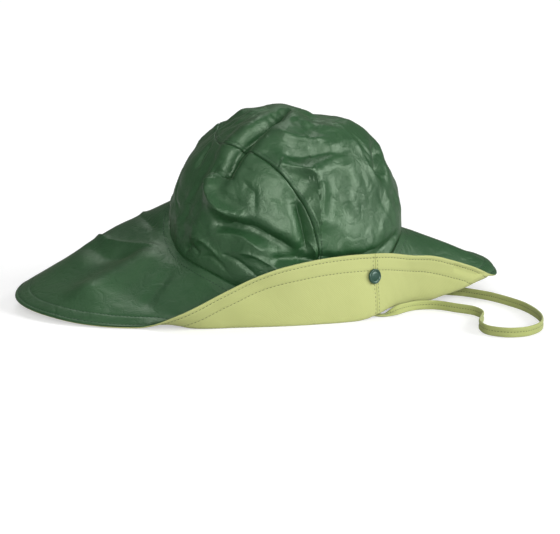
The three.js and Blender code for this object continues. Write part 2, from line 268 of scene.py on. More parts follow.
def solid(
    name: str,
    shell: Shell,
    finish: "Finish",
    replaces: Sequence[str] = (),
    uv: Array | None = None,
) -> bpy.types.Object:
    """Make a closed mesh from points and faces, and hang it in the frame.

    Over the first block's faces, each with corners a, b, c and d, the sum of a x b . c + a x c . d
    is six times the volume that they close in. Where it is below zero, every face is turned round.

    Args:
        name: the piece's name.
        shell: places in millimetres round the crown's axis, and the faces over them.
        finish: what the piece is made of.
        replaces: the CAD nodes that the piece stands for.
        uv: a place on the cloth for each point, in metres.

    Returns:
        The new object.
    """
    points, faces = shell
    corners = np.concatenate([block.ravel() for block in faces])
    sizes = np.concatenate([np.full(len(block), block.shape[1]) for block in faces])
    starts = np.cumsum(sizes) - sizes
    a, b, c, d = (points[faces[0][:, k]] for k in range(4))
    if (np.cross(a, b) * c).sum() + (np.cross(a, c) * d).sum() < 0:
        corners = corners[np.repeat(2 * starts + sizes - 1, sizes) - np.arange(len(corners))]
    mesh = bpy.data.meshes.new(name)
    mesh.vertices.add(len(points))
    mesh.vertices.foreach_set("co", in_row_frame(points).astype(np.float32).ravel())
    mesh.loops.add(len(corners))
    mesh.loops.foreach_set("vertex_index", corners.astype(np.int32))
    mesh.polygons.add(len(sizes))
    mesh.polygons.foreach_set("loop_start", starts.astype(np.int32))
    mesh.update(calc_edges=True)
    if uv is not None:
        layer = mesh.uv_layers.new(name="cloth")
        layer.data.foreach_set("uv", uv[corners].astype(np.float32).ravel())
    mesh.validate()
    mesh.shade_smooth()
    mesh.materials.append(finish.material())
    piece = bpy.data.objects.new(name, mesh)
    bpy.context.collection.objects.link(piece)
    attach(piece, BODY)
    if replaces:
        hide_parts(*replaces)
    log.info("%s: %d points, %d faces", name, len(mesh.vertices), len(mesh.polygons))
    return piece


# ---------------------------------------------------------------- shader node groups
class Wiring:
    """Short ways to add, set and join nodes in one node tree."""

    def __init__(self, tree: bpy.types.NodeTree) -> None:
        """Keep the tree that the nodes go into."""
        self.tree = tree

    def add(
        self, kind: str, values: dict | None = None, links: dict | None = None, **settings: object
    ) -> bpy.types.Node:
        """Add a node.

        Args:
            kind: the node's type.
            values: what to set on its input sockets, by name or number.
            links: output sockets to join to its input sockets, by name or number.
            settings: the node's own settings.

        Returns:
            The node.
        """
        node = self.tree.nodes.new(kind)
        for key, value in settings.items():
            setattr(node, key, value)
        self.fill(node, values or {})
        for key, source in (links or {}).items():
            self.join(source, node.inputs[key])
        return node

    @staticmethod
    def fill(node: bpy.types.Node, values: dict) -> None:
        """Set input sockets, by name or number."""
        for key, value in values.items():
            node.inputs[key].default_value = value

    def join(self, source: bpy.types.NodeSocket, target: bpy.types.NodeSocket) -> None:
        """Link an output socket to an input socket."""
        self.tree.links.new(source, target)

    def math(self, operation: str, *terms: bpy.types.NodeSocket | float) -> bpy.types.NodeSocket:
        """One step of arithmetic.

        Args:
            operation: the node's operation.
            terms: sockets or numbers, in order.

        Returns:
            The result's socket.
        """
        node = self.add("ShaderNodeMath", operation=operation)
        for socket, term in zip(node.inputs, terms):
            if isinstance(term, bpy.types.NodeSocket):
                self.join(term, socket)
            else:
                socket.default_value = term
        return node.outputs[0]

    def end(self, name: str) -> bpy.types.Node:
        """The tree's own input or output node, by its type."""
        return next(node for node in self.tree.nodes if node.bl_idname == name)


def new_group(name: str, pattern: str, values: dict[str, float], output: str) -> Wiring:
    """Start a shader node group that makes one value from a place.

    Args:
        name: the group's name.
        pattern: the name of the input that takes the place.
        values: the other inputs, and each one's value to start with.
        output: the name of the output.

    Returns:
        The wiring of the group's tree, with its input and output nodes in it.
    """
    tree = bpy.data.node_groups.new(name, "ShaderNodeTree")
    tree.interface.new_socket(pattern, in_out="INPUT", socket_type="NodeSocketVector")
    for key, value in values.items():
        socket = tree.interface.new_socket(key, in_out="INPUT", socket_type="NodeSocketFloat")
        socket.default_value = value
    tree.interface.new_socket(output, in_out="OUTPUT", socket_type="NodeSocketFloat")
    wire = Wiring(tree)
    wire.add("NodeGroupInput")
    wire.add("NodeGroupOutput")
    return wire


def weave_group() -> bpy.types.NodeTree:
    """Plain weave: two bands of threads at right angles, each over the other by turns.

    The height is half of 1 + sin(u) * sin(v), where u and v count threads along the cloth, with a
    fine noise for uneven yarn.

    Returns:
        The group's tree.
    """
    wire = new_group("plain_weave", "Cloth", {"Threads": 1500.0, "Unevenness": 0.4}, "Height")
    given = wire.end("NodeGroupInput").outputs
    links = {0: given["Cloth"], "Scale": given["Threads"]}
    scaled = wire.add("ShaderNodeVectorMath", links=links, operation="SCALE").outputs[0]
    split = wire.add("ShaderNodeSeparateXYZ", links={0: scaled})
    across, along = (
        wire.math("SINE", wire.math("MULTIPLY", split.outputs[k], math.pi)) for k in (0, 1)
    )
    yarn = wire.add("ShaderNodeTexNoise", {"Scale": 0.35, "Detail": 2.0}, {"Vector": scaled})
    woven = wire.math("MULTIPLY_ADD", wire.math("MULTIPLY", across, along), 0.5, 0.5)
    uneven = wire.math("MULTIPLY", yarn.outputs["Fac"], given["Unevenness"])
    wire.join(wire.math("ADD", woven, uneven), wire.end("NodeGroupOutput").inputs["Height"])
    return wire.tree


def crumple_group() -> bpy.types.NodeTree:
    """Small creases: noise folded at its middle value, so that it meets itself in sharp lines.

    Returns:
        The group's tree.
    """
    wire = new_group("small_creases", "Place", {"Scale": 60.0}, "Height")
    given = wire.end("NodeGroupInput").outputs
    values = {"Detail": 3.0, "Roughness": 0.5, "Distortion": 0.6}
    links = {"Vector": given["Place"], "Scale": given["Scale"]}
    noise = wire.add("ShaderNodeTexNoise", values, links)
    folded = wire.math("ABSOLUTE", wire.math("SUBTRACT", noise.outputs["Fac"], 0.5))
    wire.join(wire.math("POWER", folded, 0.8), wire.end("NodeGroupOutput").inputs["Height"])
    return wire.tree


def mottle_group() -> bpy.types.NodeTree:
    """Slow change of shade over the cloth: soft noise between 0 and 1 at two sizes.

    Returns:
        The group's tree.
    """
    wire = new_group("mottle", "Place", {"Scale": 12.0, "Contrast": 1.6}, "Mask")
    given = wire.end("NodeGroupInput").outputs
    finer = wire.math("MULTIPLY", given["Scale"], 6.0)
    layers = []
    for detail, scale, share in ((2.0, given["Scale"], 0.7), (3.0, finer, 0.3)):
        links = {"Vector": given["Place"], "Scale": scale}
        noise = wire.add("ShaderNodeTexNoise", {"Detail": detail}, links)
        layers.append(wire.math("MULTIPLY", noise.outputs["Fac"], share))
    centred = wire.math("SUBTRACT", wire.math("ADD", *layers), 0.5)
    wide = wire.math("MULTIPLY", centred, given["Contrast"])
    mask = wire.add("ShaderNodeMath", {1: 0.5}, {0: wide}, operation="ADD", use_clamp=True)
    wire.join(mask.outputs[0], wire.end("NodeGroupOutput").inputs["Mask"])
    return wire.tree


GROUPS = {"plain_weave": weave_group, "small_creases": crumple_group, "mottle": mottle_group}


# ---------------------------------------------------------------- finishes
@dataclass(frozen=True)
class Finish:
    """A woven finish: two shades, a mottle, the weave, small creases and the shader's values."""

    name: str
    slot: str
    dark: Colour
    light: Colour
    roughness: tuple[float, float]
    threads: float
    weave_depth: float
    crease_scale: float
    crease_depth: float
    mottle_scale: float = 12.0
    contrast: float = 1.6
    sheen: float = 0.0
    sheen_tint: Colour = (1.0, 1.0, 1.0)
    specular: float = 0.5
    specular_tint: Colour = (1.0, 1.0, 1.0)
    metallic: float = 0.0
    coat: float = 0.0

    def material(self) -> bpy.types.Material:
        """Make the finish's material, or take it where it is made already.

        Returns:
            The material.
        """
        if self.name in bpy.data.materials:
            return bpy.data.materials[self.name]
        material = bpy.data.materials.new(self.name)
        material.use_nodes = True
        wire = Wiring(material.node_tree)
        shader = wire.end("ShaderNodeBsdfPrincipled")
        values = {
            "Metallic": self.metallic,
            "Specular IOR Level": self.specular,
            "Specular Tint": (*self.specular_tint, 1.0),
            "Sheen Weight": self.sheen,
            "Sheen Roughness": 0.4,
            "Sheen Tint": (*self.sheen_tint, 1.0),
            "Coat Weight": self.coat,
            "Coat Roughness": 0.25,
        }
        wire.fill(shader, values)
        place = wire.add("ShaderNodeTexCoord").outputs
        shades = {"Scale": self.mottle_scale, "Contrast": self.contrast}
        mask = self._pattern(wire, "mottle", shades, place["Object"])
        shade = wire.add("ShaderNodeMix", data_type="RGBA")
        wire.fill(shade, {6: (*self.dark, 1.0), 7: (*self.light, 1.0)})
        wire.join(mask, shade.inputs[0])
        wire.join(shade.outputs[2], shader.inputs["Base Color"])
        low, high = self.roughness
        rough = wire.add("ShaderNodeMapRange", {"To Min": low, "To Max": high}, {"Value": mask})
        wire.join(rough.outputs[0], shader.inputs["Roughness"])
        weave = self._pattern(wire, "plain_weave", {"Threads": self.threads}, place["UV"])
        values = {"Scale": self.crease_scale}
        creases = self._pattern(wire, "small_creases", values, place["Object"])
        values = {"Strength": 1.0, "Distance": self.crease_depth}
        bump = wire.add("ShaderNodeBump", values, {"Height": creases})
        values = {"Strength": 1.0, "Distance": self.weave_depth}
        links = {"Height": weave, "Normal": bump.outputs[0]}
        bump = wire.add("ShaderNodeBump", values, links)
        wire.join(bump.outputs[0], shader.inputs["Normal"])
        return material

    @staticmethod
    def _pattern(
        wire: Wiring, name: str, values: dict[str, float], place: bpy.types.NodeSocket
    ) -> bpy.types.NodeSocket:
        """Use one of the shared node groups, each of them made once.

        Args:
            wire: the material's wiring.
            name: the group's name.
            values: what to set on the group's inputs.
            place: the socket with the place that the pattern is read at.

        Returns:
            The pattern's value, as a socket.
        """
        tree = bpy.data.node_groups.get(name) or GROUPS[name]()
        node = wire.add("ShaderNodeGroup", values, {0: place}, node_tree=tree)
        return node.outputs[0]


COATED_NYLON = Finish(
    "coated_nylon", "outer_cloth", dark=(0.006, 0.038, 0.011), light=(0.020, 0.076, 0.024),
    roughness=(0.36, 0.50), threads=2200.0, weave_depth=0.00003, crease_scale=80.0,
    crease_depth=0.0008, mottle_scale=14.0, specular=0.8, specular_tint=(0.80, 1.0, 0.76),
    sheen=0.03, sheen_tint=(0.9, 0.95, 0.6),
)
COTTON_LINING = Finish(
    "cotton_lining", "lining_cloth", dark=(0.37, 0.40, 0.15), light=(0.43, 0.46, 0.19),
    roughness=(0.85, 0.95), threads=1100.0, weave_depth=0.00012, crease_scale=40.0,
    crease_depth=0.0005, contrast=1.2, sheen=0.1, specular=0.25,
)
WEBBING = Finish(
    "strap_tape", "strap_webbing", dark=(0.29, 0.335, 0.11), light=(0.41, 0.445, 0.17),
    roughness=(0.8, 0.92), threads=1400.0, weave_depth=0.00012, crease_scale=70.0,
    crease_depth=0.0004, sheen=0.15, specular=0.25,
)
ENAMEL = Finish(
    "green_enamel", "snap_enamel", dark=(0.010, 0.050, 0.032), light=(0.016, 0.068, 0.044),
    roughness=(0.22, 0.34), threads=400.0, weave_depth=0.0, crease_scale=300.0,
    crease_depth=0.00005, coat=0.5, metallic=0.3,
)
DARK_THREAD = Finish(
    "dark_thread", "outer_cloth", dark=(0.008, 0.030, 0.014), light=(0.014, 0.045, 0.022),
    roughness=(0.6, 0.75), threads=3000.0, weave_depth=0.00005, crease_scale=200.0,
    crease_depth=0.0001,
)
OLIVE_THREAD = replace(
    DARK_THREAD,
    name="olive_thread",
    slot="lining_cloth",
    dark=(0.07, 0.09, 0.03),
    light=(0.11, 0.13, 0.05),
)


# ---------------------------------------------------------------- stitching
@dataclass(frozen=True)
class Thread:
    """A row of stitches: short threads that rise out of the cloth and sink back into it."""

    pitch: float
    length: float
    width: float
    height: float
    rings: int = 5
    corners: int = 6
    tip: float = 0.98

    def along(self, line: Array, outward: Array) -> Shell:
        """Stitches along a line on the cloth.

        Each is a grid of rings: at share x of its length, its radius is width times sqrt(1 - x^2),
        pressed to its height, about a middle that lies on the line.

        Args:
            line: the line's points in order.
            outward: the way out of the cloth at each of them.

        Returns:
            The stitches' points and faces.
        """
        far = run_length(line)
        count = max(2, int(far[-1] / self.pitch))
        middle = (np.arange(count) + 0.5) * far[-1] / count

        def pick(values: Array, where: Array) -> Array:
            """Read rows of three values off at places along the line."""
            return np.stack([np.interp(where, far, values[:, k]) for k in range(3)], -1)

        centre, out = pick(line, middle), unit(pick(outward, middle))
        way = unit(pick(line, middle + self.length / 2) - pick(line, middle - self.length / 2))
        side = unit(np.cross(out, way))
        out = np.cross(way, side)
        turns = np.arange(self.corners) * (2 * math.pi / self.corners)
        grid = np.meshgrid(np.linspace(-self.tip, self.tip, self.rings), turns, indexing="ij")
        along, turn = (part.ravel()[None, :, None] for part in grid)
        radius = np.sqrt(1 - along**2)
        points = (
            centre[:, None]
            + along * self.length / 2 * way[:, None]
            + radius * np.cos(turn) * self.width / 2 * side[:, None]
            + radius * np.sin(turn) * self.height * out[:, None]
        )
        first = (np.arange(count) * along.size)[:, None, None]
        blocks = loop_faces(self.rings, self.corners, ring=False)
        return points.reshape(-1, 3), [(own + first).reshape(-1, own.shape[1]) for own in blocks]


def stitching(name: str, rows: Sequence[Shell], finish: Finish) -> bpy.types.Object:
    """All rows of one thread as one piece.

    Args:
        name: the piece's name.
        rows: each row's points, and its faces numbered from its own first point.
        finish: what the thread is made of.

    Returns:
        The new object.
    """
    start = np.cumsum([0, *[len(points) for points, _ in rows[:-1]]])
    faces = [face + first for first, (_, own) in zip(start, rows) for face in own]
    sizes = sorted({face.shape[1] for face in faces})
    blocks = [np.concatenate([face for face in faces if face.shape[1] == size]) for size in sizes]
    points = np.concatenate([points for points, _ in rows])
    return solid(name, (points, blocks), finish, uv=points[:, :2] * METRES)


# ---------------------------------------------------------------- creases
class Fold(Enum):
    """How a crease's height falls away beside its line."""

    SOFT = "soft"
    SHARP = "sharp"


@dataclass(frozen=True)
class Crease:
    """A crease through places on a surface, each given by its two parameters.

    At distance d from its line, SOFT is rise * exp(-(d / width)^2) and SHARP is
    rise * exp(-d / width). Both ease in from the share `start` of the line, just before its end, to
    the share `fade`, and the same way out at the other end.
    """

    rise: float
    width: float
    places: tuple[tuple[float, float], ...]
    fold: Fold
    fade: float
    finer: int = 6
    start: float = -0.02

    def lift(self, surface: Surface, places: Array) -> Array:
        """How far the crease lifts the cloth at each place.

        Args:
            surface: the surface that the crease's own places are on.
            places: places in millimetres, in rows.

        Returns:
            One height for each place.
        """
        given = np.array(self.places, float)
        knots = np.arange(len(given), dtype=float)
        through = hermite(knots, given, np.linspace(0, knots[-1], self.finer * len(given)))
        distance, share, _ = nearest_on_line(places, surface(through[:, 0], through[:, 1]))
        ends = smooth(np.minimum(share, 1 - share), self.start, self.fade)
        far = distance / self.width
        return self.rise * ends * np.exp(-(far**2) if self.fold is Fold.SOFT else -far)


def soft(rise: float, width: float, *places: tuple[float, float], fade: float = 0.01) -> Crease:
    """A soft fold through some places."""
    return Crease(rise, width, places, Fold.SOFT, fade)


def sharp(rise: float, width: float, *places: tuple[float, float], fade: float = 0.25) -> Crease:
    """A sharp crease through some places."""
    return Crease(rise, width, places, Fold.SHARP, fade)


# ---------------------------------------------------------------- the hat's own shape
@dataclass(frozen=True)
class HatShape:
    """The seam, the dome of the crown and the middle of the brim, by degrees round the crown.

    A row of `sections` has its degrees, then the `columns`: the seam's height, the crown's
    squareness, and how far the brim's fold and its edge lie out from the seam's plan and up.
    """

    head_length: float = 200.0
    head_width: float = 162.0
    crown_top: float = 169.0
    seam_gap: float = 0.5
    fold_round: float = 13.0
    fold_share: float = 0.8
    columns: tuple[str, ...] = ("seam", "square", "fold_out", "fold_up", "edge_out", "edge_up")
    sections: tuple[tuple[float, ...], ...] = (
        (0, 60, 2.15, 79, 31, 89, 23),
        (10, 61, 2.15, 74, 29, 89, 18),
        (30, 65, 2.25, 54, 31, 76, 6),
        (60, 74, 2.25, 32, 45, 50, 0),
        (90, 82, 2.25, 25, 52, 40, 0),
        (120, 87, 2.2, 32, 58, 54, 0),
        (145, 89, 2.05, 48, 60, 88, 0),
        (158, 82, 1.87, 60, 57, 120, 5),
        (168, 73, 1.87, 66, 49, 129, 13),
        (180, 62, 1.87, 66, 36, 131, 9),
        (193, 52, 1.87, 60, 26, 108, 4),
        (203, 46, 1.87, 50, 18, 84, 1),
        (213, 42, 1.95, 42, 8, 61, 2),
        (225, 36, 2.1, 34, -4, 52, 15),
        (240, 26, 2.2, 20, -8, 33, 34),
        (255, 17, 2.25, 12, -8, 20, 47),
        (270, 14, 2.25, 9, -8, 12, 53),
        (285, 15, 2.25, 10, -8, 8, 55),
        (300, 21, 2.25, 14, -4, 8, 54.5),
        (315, 34, 2.25, 10, -1, 12, 52),
        (330, 50, 2.15, 14, -0.5, 25, 45),
        (340, 57, 2.15, 32, 1, 41, 38),
        (350, 60, 2.15, 62, 10, 68, 29),
    )

    def column(self, name: str, at: Array) -> Array:
        """One column of the sections as a smooth closed curve."""
        table = np.array(self.sections, float)
        return hermite(table[:, 0], table[:, 1 + self.columns.index(name)], at, period=360.0)

    def plan(self, at: Array) -> tuple[Array, Array]:
        """The seam's place seen from above, (a cos t, b sin t), and the way straight out of it."""
        a, b, turn = self.head_length / 2, self.head_width / 2, np.radians(at)
        place = np.stack([a * np.cos(turn), b * np.sin(turn)], -1)
        return place, unit(np.stack([np.cos(turn) / a, np.sin(turn) / b], -1))

    def dome(self, at: Array, up: Array) -> Array:
        """The crown before its creases.

        At share `up` of the way to the top, the seam's plan shrinks by r = sin((1 - up) * 90
        degrees), and the height over the seam is (1 - r^n)^(1 / n) of the crown's, where n is the
        squareness.

        Args:
            at: degrees round the crown.
            up: the share of the way to the top.

        Returns:
            The places.
        """
        place, _ = self.plan(at)
        reach = np.sin((1 - up) * math.pi / 2)
        power = self.column("square", at)
        seam = self.column("seam", at)
        rise = np.maximum(1 - reach**power, 0) ** (1 / power)
        height = seam + (self.crown_top - seam) * rise
        return np.concatenate([place * reach[..., None], height[..., None]], -1)

    def brim(self, at: Array, stretch: Array) -> Array:
        """The middle of the brim.

        From 0 to 1 it runs straight from the seam to where the fold starts, from 1 to 2 it turns
        along the curve (1 - t)^2 enter + 2 t (1 - t) corner + t^2 leave, and from 2 to 3 it runs
        straight to the edge.

        Args:
            at: degrees round the crown.
            stretch: how far along the section, from 0 to 3.

        Returns:
            The places.
        """
        at, stretch = np.broadcast_arrays(np.asarray(at, float), np.asarray(stretch, float))
        enter, leave, start, corner, edge = self._section(at)
        s = stretch[..., None]
        a, b, c = np.minimum(s, 1), np.clip(s - 1, 0, 1), np.clip(s - 2, 0, 1)
        turning = enter * (1 - b) ** 2 + 2 * corner * b * (1 - b) + leave * b**2
        point = np.where(s >= 2, leave + (edge - leave) * c, turning)
        point = np.where(s <= 1, start + (enter - start) * a, point)
        place, out = self.plan(at)
        return np.concatenate([place + out * point[..., :1], point[..., 1:]], -1)

    def _section(self, at: Array) -> tuple[Array, ...]:
        """A section's points, each (out from the seam's plan, up).

        Args:
            at: degrees round the crown.

        Returns:
            The fold's start and end, the seam, the corner that the fold rounds off, and the edge.
        """
        seam = self.column("seam", at) - self.seam_gap
        start = np.stack([np.full(at.shape, self.seam_gap), seam], -1)
        corner, edge = (
            np.stack([self.column(f"{name}_out", at), self.column(f"{name}_up", at)], -1)
            for name in ("fold", "edge")
        )
        inner = np.linalg.norm(corner - start, axis=-1)
        outer = np.linalg.norm(edge - corner, axis=-1)
        turn = np.minimum(self.fold_round, self.fold_share * np.minimum(inner, outer))
        enter = corner + (start - corner) * (turn / inner)[..., None]
        leave = corner + (edge - corner) * (turn / outer)[..., None]
        return enter, leave, start, corner, edge

    def brim_reach(self, at: Array) -> tuple[Array, Array, Array]:
        """The lengths of a section's three parts.

        The turn's is (2 * chord + the two legs of its corner) / 3.

        Args:
            at: degrees round the crown.

        Returns:
            The straight run in, the turn, and the straight run out.
        """
        enter, leave, start, corner, edge = self._section(at)
        pairs = ((enter, leave), (enter, corner), (corner, leave), (start, enter), (leave, edge))
        across, first, second, run, hem = (np.linalg.norm(a - b, axis=-1) for a, b in pairs)
        return run, (2 * across + first + second) / 3, hem

    def stretch_at(self, at: Array, inset: Array) -> Array:
        """The stretch that lies some way in from the edge along its section.

        Args:
            at: degrees round the crown.
            inset: millimetres in from the edge.

        Returns:
            The stretch, from 3 at the edge to 0 at the seam.
        """
        run, turn, hem = self.brim_reach(at)
        in_turn = 2 - (inset - hem) / turn
        in_run = 1 - (inset - hem - turn) / run
        further_in = np.where(inset <= hem + turn, in_turn, in_run)
        return np.where(inset <= hem, 3 - inset / hem, further_in)

    @staticmethod
    def outward(surface: Surface, at: Array, share: Array) -> Array:
        """A surface's normal: the cross product of a short step round and a short step across.

        Args:
            surface: places from degrees and a share.
            at: degrees round the crown.
            share: the surface's other parameter.

        Returns:
            One unit vector for each place.
        """
        turn, step = 0.1, 0.002
        around = surface(at + turn, share) - surface(at - turn, share)
        across = surface(at, share + step) - surface(at, share - step)
        return unit(np.cross(around, across))

    def degree_length(self, at: Array, stretch: Array) -> Array:
        """The millimetres that one degree round the crown covers on the brim."""
        return np.linalg.norm(self.brim(at + 0.5, stretch) - self.brim(at - 0.5, stretch), axis=-1)

    def off_dome(self, at: Array, up: Array) -> Array:
        """The dome's normal, taken a little clear of its seam and its pole."""
        return self.outward(self.dome, at, np.clip(up, POLE_CLEAR, 1 - POLE_CLEAR))


SHAPE = HatShape()


# ---------------------------------------------------------------- crown
@dataclass(frozen=True)
class Crown:
    """Two panels joined by an arched seam, and the folds and creases that they lie in.

    Places on the crown are (degrees, share up). A dip is (depth, width), and the hem's width is a
    share up. The fell lies over `fell_span` in front of the seam and eases in and out over
    `fell_ease`. At the seam, each panel keeps `arch_gap`, in degrees and share, clear.
    """

    wall: float = 1.1
    arch_middle: float = 180.0
    arch_half_span: float = 99.0
    arch_top: float = 0.58
    arch_squareness: float = 2.6
    arch_gap: tuple[float, float] = (0.06, 0.0006)
    corner_phase: float = 0.03
    fold_free: float = 0.12
    outer_rows: int = 120
    inner_rows: int = 20
    arch_columns: int = 300
    hem_columns: int = 130
    seam_samples: int = 120
    cloth_size: tuple[float, float] = (0.09, 0.15)
    hem_dip: tuple[float, float] = (0.8, 0.012)
    seam_dip: tuple[float, float] = (0.7, 0.8)
    fell_rise: float = 0.3
    fell_span: tuple[float, float] = (0.2, 3.4)
    fell_ease: tuple[float, float] = (1.0, 1.2)
    forward: tuple[float, float, float] = (0.6, 0.0, 0.8)
    folds: tuple[Crease, ...] = (
        soft(-8, 6, (254, 0.96), (229, 0.56), (223, 0.39), fade=0.05),
        soft(3.2, 13, (232, 0.80), (212, 0.62), (214, 0.42), fade=0.3),
        soft(5, 6, (212, 0.39), (222, 0.27), (238, 0.23)),
        soft(-6, 7, (226, 0.2), (244, 0.2), (268, 0.14)),
        soft(4, 7, (258, 0.48), (280, 0.42), (280, 0.24)),
        soft(-5, 6, (267, 0.32), (270, 0.24), (272, 0.16)),
        soft(-7, 8, (344, 0.44), (337, 0.4), (331, 0.34)),
        soft(-6.6, 13, (-40, 0.81), (0, 0.79), (40, 0.82)),
        soft(-3.4, 8, (54, 0.73), (32, 0.70), (8, 0.70)),
        soft(1.6, 7, (128, 0.85), (160, 0.86), (192, 0.86)),
        soft(-5.0, 5.0, (254, 0.12), (276, 0.12), (296, 0.10), fade=0.1),
        soft(-9.0, 4.2, (292, 0.105), (312, 0.065), (336, 0.03), fade=0.1),
        soft(3.5, 20, (-34, 0.5), (0, 0.52), (34, 0.5)),
        soft(-5, 9, (130, 0.5), (112, 0.35), (100, 0.2)),
        soft(-4, 9, (60, 0.55), (48, 0.4), (40, 0.22)),
    )
    creases: tuple[Crease, ...] = (
        sharp(
            -3.0, 1.7, (254, 0.96), (238, 0.70), (227, 0.58), (223, 0.50), (222, 0.41), fade=0.12
        ),
        sharp(-2.2, 1.7, (223, 0.40), (217, 0.425), (209, 0.43)),
        sharp(2.2, 2.2, (209, 0.42), (211, 0.37), (217, 0.31), (227, 0.245), (238, 0.23)),
        sharp(-2.2, 2.2, (226, 0.20), (242, 0.215), (256, 0.19), (268, 0.15)),
        sharp(
            2.0, 2.6, (256, 0.47), (273, 0.45), (280, 0.41), (282, 0.36), (280, 0.28), (278, 0.18)
        ),
        sharp(-1.6, 2.6, (236, 0.39), (240, 0.36), (244, 0.34), (245, 0.30), (246, 0.25)),
        sharp(-3.0, 1.9, (267, 0.33), (270, 0.24), (272.5, 0.15)),
        sharp(2.0, 3.5, (206, 0.08), (224, 0.15), (239, 0.17), (252, 0.13)),
        sharp(-2.6, 2.6, (344, 0.45), (337, 0.42), (332, 0.38), (330, 0.33)),
        sharp(1.5, 2.4, (347, 0.50), (344, 0.42), (340, 0.33), (334, 0.30)),
        sharp(-1.1, 2.2, (321, 0.30), (324, 0.19), (330, 0.09)),
        sharp(1.0, 2.2, (327, 0.26), (331, 0.17), (334, 0.10)),
        sharp(1.4, 2.8, (326, 0.72), (320, 0.55), (320, 0.45), (323, 0.34), (333, 0.28)),
        sharp(-3.6, 2.0, (189, 0.40), (186, 0.48), (182, 0.57)),
        sharp(-4.5, 2.4, (203, 0.045), (209, 0.085), (216, 0.06), fade=0.1),
        sharp(2.4, 2.2, (206, 0.12), (214, 0.13), (222, 0.10), (230, 0.06)),
        sharp(-3.2, 1.8, (214, 0.04), (222, 0.065), (229, 0.05), (236, 0.02)),
        sharp(-2.6, 1.8, (228, 0.09), (238, 0.085), (250, 0.05)),
        sharp(1.6, 2.4, (234, 0.11), (246, 0.115), (258, 0.09), (266, 0.05)),
        sharp(1.2, 3.0, (252, 0.95), (226, 0.86), (206, 0.76)),
        soft(-2.6, 5.0, (268, 0.78), (280, 0.70), (296, 0.67), fade=0.25),
        soft(2.4, 4.0, (250, 0.68), (266, 0.62), (282, 0.60), (300, 0.60), fade=0.25),
        soft(-2.6, 4.5, (258, 0.53), (272, 0.51), (290, 0.52), (312, 0.50), fade=0.25),
        soft(1.4, 5.0, (272, 0.46), (290, 0.44), (312, 0.43), fade=0.25),
        sharp(-1.4, 3.0, (300, 0.80), (325, 0.70), (350, 0.66)),
        sharp(-1.6, 3.0, (0, 0.55), (14, 0.42), (20, 0.25)),
        sharp(1.6, 3.0, (30, 0.62), (38, 0.45), (34, 0.28)),
        sharp(-1.8, 2.6, (62, 0.40), (74, 0.28), (90, 0.22)),
        sharp(1.8, 3.0, (86, 0.55), (96, 0.42), (98, 0.30)),
        sharp(-1.8, 2.8, (118, 0.34), (132, 0.26), (148, 0.28)),
        sharp(1.8, 3.2, (150, 0.62), (144, 0.46), (152, 0.34)),
        sharp(-1.6, 2.8, (168, 0.28), (178, 0.20), (192, 0.20)),
        soft(-1.8, 5.0, (116, 0.88), (100, 0.82), (84, 0.78), fade=0.25),
        sharp(1.6, 1.8, (272, 0.19), (276, 0.15), (277, 0.11)),
        sharp(1.6, 1.8, (291, 0.18), (289, 0.14), (291, 0.11)),
        sharp(1.4, 1.8, (306, 0.17), (309, 0.14), (307, 0.10)),
        sharp(1.4, 1.8, (320, 0.16), (318, 0.13), (321, 0.09)),
    )
    slack: Slack = (
        (Waves(46, seed=3), 0.5),
        (Crumple(38, seed=8), 0.9),
        (Crumple(18, seed=5), 0.4),
        (Crumple(8, seed=14), 0.06),
    )
    thread: Thread = Thread(pitch=2.8, length=2.0, width=0.42, height=0.2)
    thread_rows: tuple[float, float] = (0.9, 3.2)
    row_span: tuple[float, float] = (0.02, 0.98)
    row_samples: int = 400

    def arch(self, phase: Array, side: float = 0.0) -> Array:
        """The arched seam |x|^n + y^n = 1 over the back panel, a little to one side of it.

        Args:
            phase: how far along the arch, from 0 to pi.
            side: -1 for the back panel's edge, 1 for the front one's and 0 for the seam itself.

        Returns:
            Rows of (degrees, share up).
        """
        power = 2 / self.arch_squareness
        half = self.arch_half_span + side * self.arch_gap[0]
        top = self.arch_top + side * self.arch_gap[1]
        across = signed_power(np.cos(phase), power)
        rise = np.abs(np.sin(phase)) ** power
        return np.stack([self.arch_middle - half * across, top * rise], -1)

    def lift(self, places: Array, up: Array) -> Array:
        """How far the cloth stands off the dome: folds, creases, slack and the seam's dip and fell.

        Args:
            places: places on the dome, in rows.
            up: each one's share of the way to the top.

        Returns:
            One height for each place.
        """
        height = sum(crease.lift(SHAPE.dome, places) for crease in (*self.folds, *self.creases))
        height = (height + slack_height(self.slack, places)) * np.minimum(1, up / self.fold_free)
        seam = SHAPE.dome(*self.arch(np.linspace(0, math.pi, self.seam_samples)).T)
        distance, _, away = nearest_on_line(places, seam)
        ahead = distance * np.sign(away @ np.array(self.forward))
        (start, stop), (rise, fall) = self.fell_span, self.fell_ease
        fell = smooth(ahead, start, start + rise) * (1 - smooth(ahead, stop, stop + fall))
        dip = self.seam_dip[0] * bell(distance, self.seam_dip[1])
        return height + self.fell_rise * fell - dip - self.hem_dip[0] * bell(up, self.hem_dip[1])

